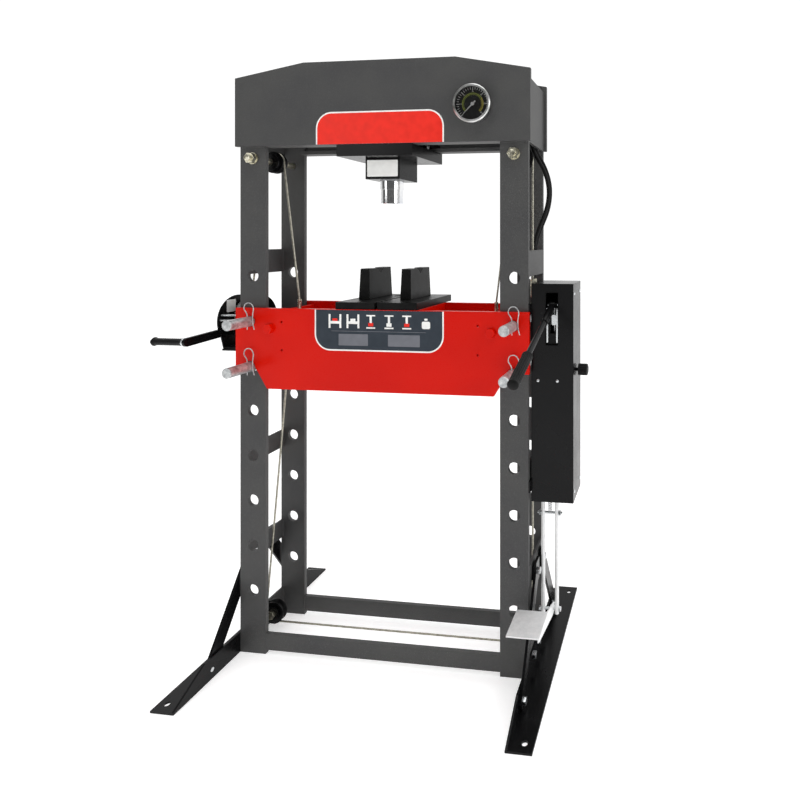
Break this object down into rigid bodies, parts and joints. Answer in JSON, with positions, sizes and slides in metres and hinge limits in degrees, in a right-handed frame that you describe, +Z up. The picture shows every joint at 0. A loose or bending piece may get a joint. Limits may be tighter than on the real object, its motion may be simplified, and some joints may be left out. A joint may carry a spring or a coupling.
{
  "type": "hydraulic press",
  "caption": "Floor-standing workshop press: perforated posts, crown with cylinder and gauge, winch-raised pinned bed, side pump cabinet with hand lever and foot pedal.",
  "frame": {"origin": "centre of the four floor anchor holes, on the floor", "axes": "+Z up; +X to the right seen from the front, towards the pump cabinet; +Y to the rear"},
  "size_m": [1.302, 0.8049, 1.829],
  "materials": {
    "frame_paint": "fine textured dark grey powder coat",
    "bed_paint": "gloss red paint",
    "black_paint": "satin black paint",
    "zinc": "bright zinc plate",
    "machined_steel": "turned steel",
    "chrome": "polished chrome",
    "wire_rope": "galvanised wire rope",
    "rubber": "black rubber",
    "black_plastic": "black moulded plastic",
    "cast_black": "black oxide steel",
    "gauge_metal": "bright steel",
    "dial_face": "printed black dial",
    "needle_white": "white enamel",
    "clear_glass": "clear glass"
  },
  "bodies": {
    "frame": {"arbor_plates": "cast_black", "axle_spacers": "frame_paint", "bed_front_plate": "bed_paint", "bed_rear_plate": "bed_paint", "bed_ribs": "bed_paint", "bed_tie_bolts": "bed_paint", "cabinet_back": "black_paint", "cabinet_shell": "black_paint", "carrier_bolts": "zinc", "carrier_clamp_plate": "black_paint", "crown_front_plate": "frame_paint", "crown_inner_plates": "frame_paint", "crown_rear_plate": "frame_paint", "cylinder_barrel": "black_paint", "cylinder_carrier": "black_paint", "cylinder_head": "black_paint", "cylinder_hose": "rubber", "feet": "black_paint", "foot_bolts": "zinc", "frame_crossbars": "frame_paint", "gauge_case": "gauge_metal", "gauge_dial": "dial_face", "gauge_glass": "clear_glass", "gauge_hose": "rubber", "hoist_rope": "wire_rope", "hose_elbows": "zinc", "levelling_rope": "wire_rope", "low_pulley_cheeks": "black_paint", "oil_tank": "black_paint", "pedal_rods": "zinc", "pivot_pins": "zinc", "posts_left": "frame_paint", "posts_right": "frame_paint", "pulley_axle_bolts": "zinc", "pump_block": "cast_black", "rope_studs": "zinc", "side_brackets": "black_paint", "struts": "black_paint", "v_blocks": "cast_black", "winch_frame": "black_paint"},
    "ram": {"ram": "chrome", "ram_nose": "chrome"},
    "gauge_needle": {"gauge_needle": "needle_white"},
    "pin_upper_left": {"bed_pin_upper_left": "zinc"},
    "pin_upper_right": {"bed_pin_upper_right": "zinc"},
    "pin_lower_left": {"bed_pin_lower_left": "zinc"},
    "pin_lower_right": {"bed_pin_lower_right": "zinc"},
    "top_pulley_left": {"top_pulley_left": "cast_black"},
    "top_pulley_right": {"top_pulley_right": "cast_black"},
    "low_pulley_left": {"low_pulley_left": "cast_black"},
    "low_pulley_right": {"low_pulley_right": "cast_black"},
    "drum": {"winch_drum": "machined_steel", "rope_coil": "wire_rope"},
    "crank": {"crank": "black_paint"},
    "crank_grip": {"crank_grip": "black_plastic"},
    "lever": {"pump_lever": "black_paint", "lever_grip": "rubber"},
    "plunger": {"pump_plunger": "machined_steel"},
    "release_knob": {"release_knob": "black_plastic"},
    "pedal": {"pedal": "zinc"}
  },
  "joints": [
    {"name": "ram_slide", "type": "slide", "parent": "frame", "child": "ram", "axis": [0, 0, -1], "range_m": [0, 0.15], "stiffness_N_per_m": 700, "springref_m": -0.22},
    {"name": "gauge_needle_turn", "type": "hinge", "parent": "frame", "child": "gauge_needle", "pos_m": [0.302, -0.12, 1.683], "axis": [0, 1, 0], "range_deg": [0, 270], "stiffness_Nm_per_rad": 0.002, "springref_deg": -22.92},
    {"name": "pin_upper_left_pull", "type": "slide", "parent": "frame", "child": "pin_upper_left", "axis": [0, -1, 0], "range_m": [0, 0.2]},
    {"name": "pin_upper_right_pull", "type": "slide", "parent": "frame", "child": "pin_upper_right", "axis": [0, -1, 0], "range_m": [0, 0.2]},
    {"name": "pin_lower_left_pull", "type": "slide", "parent": "frame", "child": "pin_lower_left", "axis": [0, -1, 0], "range_m": [0, 0.2]},
    {"name": "pin_lower_right_pull", "type": "slide", "parent": "frame", "child": "pin_lower_right", "axis": [0, -1, 0], "range_m": [0, 0.2]},
    {"name": "top_pulley_left_spin", "type": "hinge", "parent": "frame", "child": "top_pulley_left", "pos_m": [-0.418, 0, 1.54], "axis": [0, 1, 0], "continuous": true},
    {"name": "top_pulley_right_spin", "type": "hinge", "parent": "frame", "child": "top_pulley_right", "pos_m": [0.418, 0, 1.54], "axis": [0, 1, 0], "continuous": true},
    {"name": "low_pulley_left_spin", "type": "hinge", "parent": "frame", "child": "low_pulley_left", "pos_m": [-0.418, 0, 0.065], "axis": [0, 1, 0], "continuous": true},
    {"name": "low_pulley_right_spin", "type": "hinge", "parent": "frame", "child": "low_pulley_right", "pos_m": [0.418, 0, 0.065], "axis": [0, 1, 0], "continuous": true},
    {"name": "crank_spin", "type": "hinge", "parent": "frame", "child": "crank", "pos_m": [-0.565, -0.014, 0.99], "axis": [1, 0, 0], "continuous": true},
    {"name": "drum_spin", "type": "hinge", "parent": "frame", "child": "drum", "pos_m": [-0.515, 0.0253, 1.0386], "axis": [1, 0, 0], "continuous": true},
    {"name": "crank_grip_spin", "type": "hinge", "parent": "crank", "child": "crank_grip", "pos_m": [-0.63, -0.182, 0.981], "axis": [1, 0, 0], "continuous": true},
    {"name": "lever_pump", "type": "hinge", "parent": "frame", "child": "lever", "pos_m": [0.528, -0.066, 1.094], "axis": [-1, 0, 0], "range_deg": [0, 45]},
    {"name": "plunger_slide", "type": "slide", "parent": "frame", "child": "plunger", "axis": [0, 0, -1], "range_m": [0, 0.0225]},
    {"name": "release_turn", "type": "hinge", "parent": "frame", "child": "release_knob", "pos_m": [0.6, -0.02, 0.894], "axis": [1, 0, 0], "range_deg": [0, 270]},
    {"name": "pedal_press", "type": "hinge", "parent": "frame", "child": "pedal", "pos_m": [0.512, -0.035, 0.172], "axis": [1, 0, 0], "range_deg": [0, 10], "stiffness_Nm_per_rad": 12, "springref_deg": -8.59}
  ],
  "couplings": [
    {"joint": "drum_spin", "follows": "crank_spin", "ratio": -0.31579},
    {"joint": "top_pulley_left_spin", "follows": "crank_spin", "ratio": 0.25526},
    {"joint": "top_pulley_right_spin", "follows": "crank_spin", "ratio": -0.25526},
    {"joint": "low_pulley_left_spin", "follows": "crank_spin", "ratio": -0.25526},
    {"joint": "low_pulley_right_spin", "follows": "crank_spin", "ratio": -0.25526},
    {"joint": "plunger_slide", "follows": "lever_pump", "m_per_rad": 0.027}
  ]
}
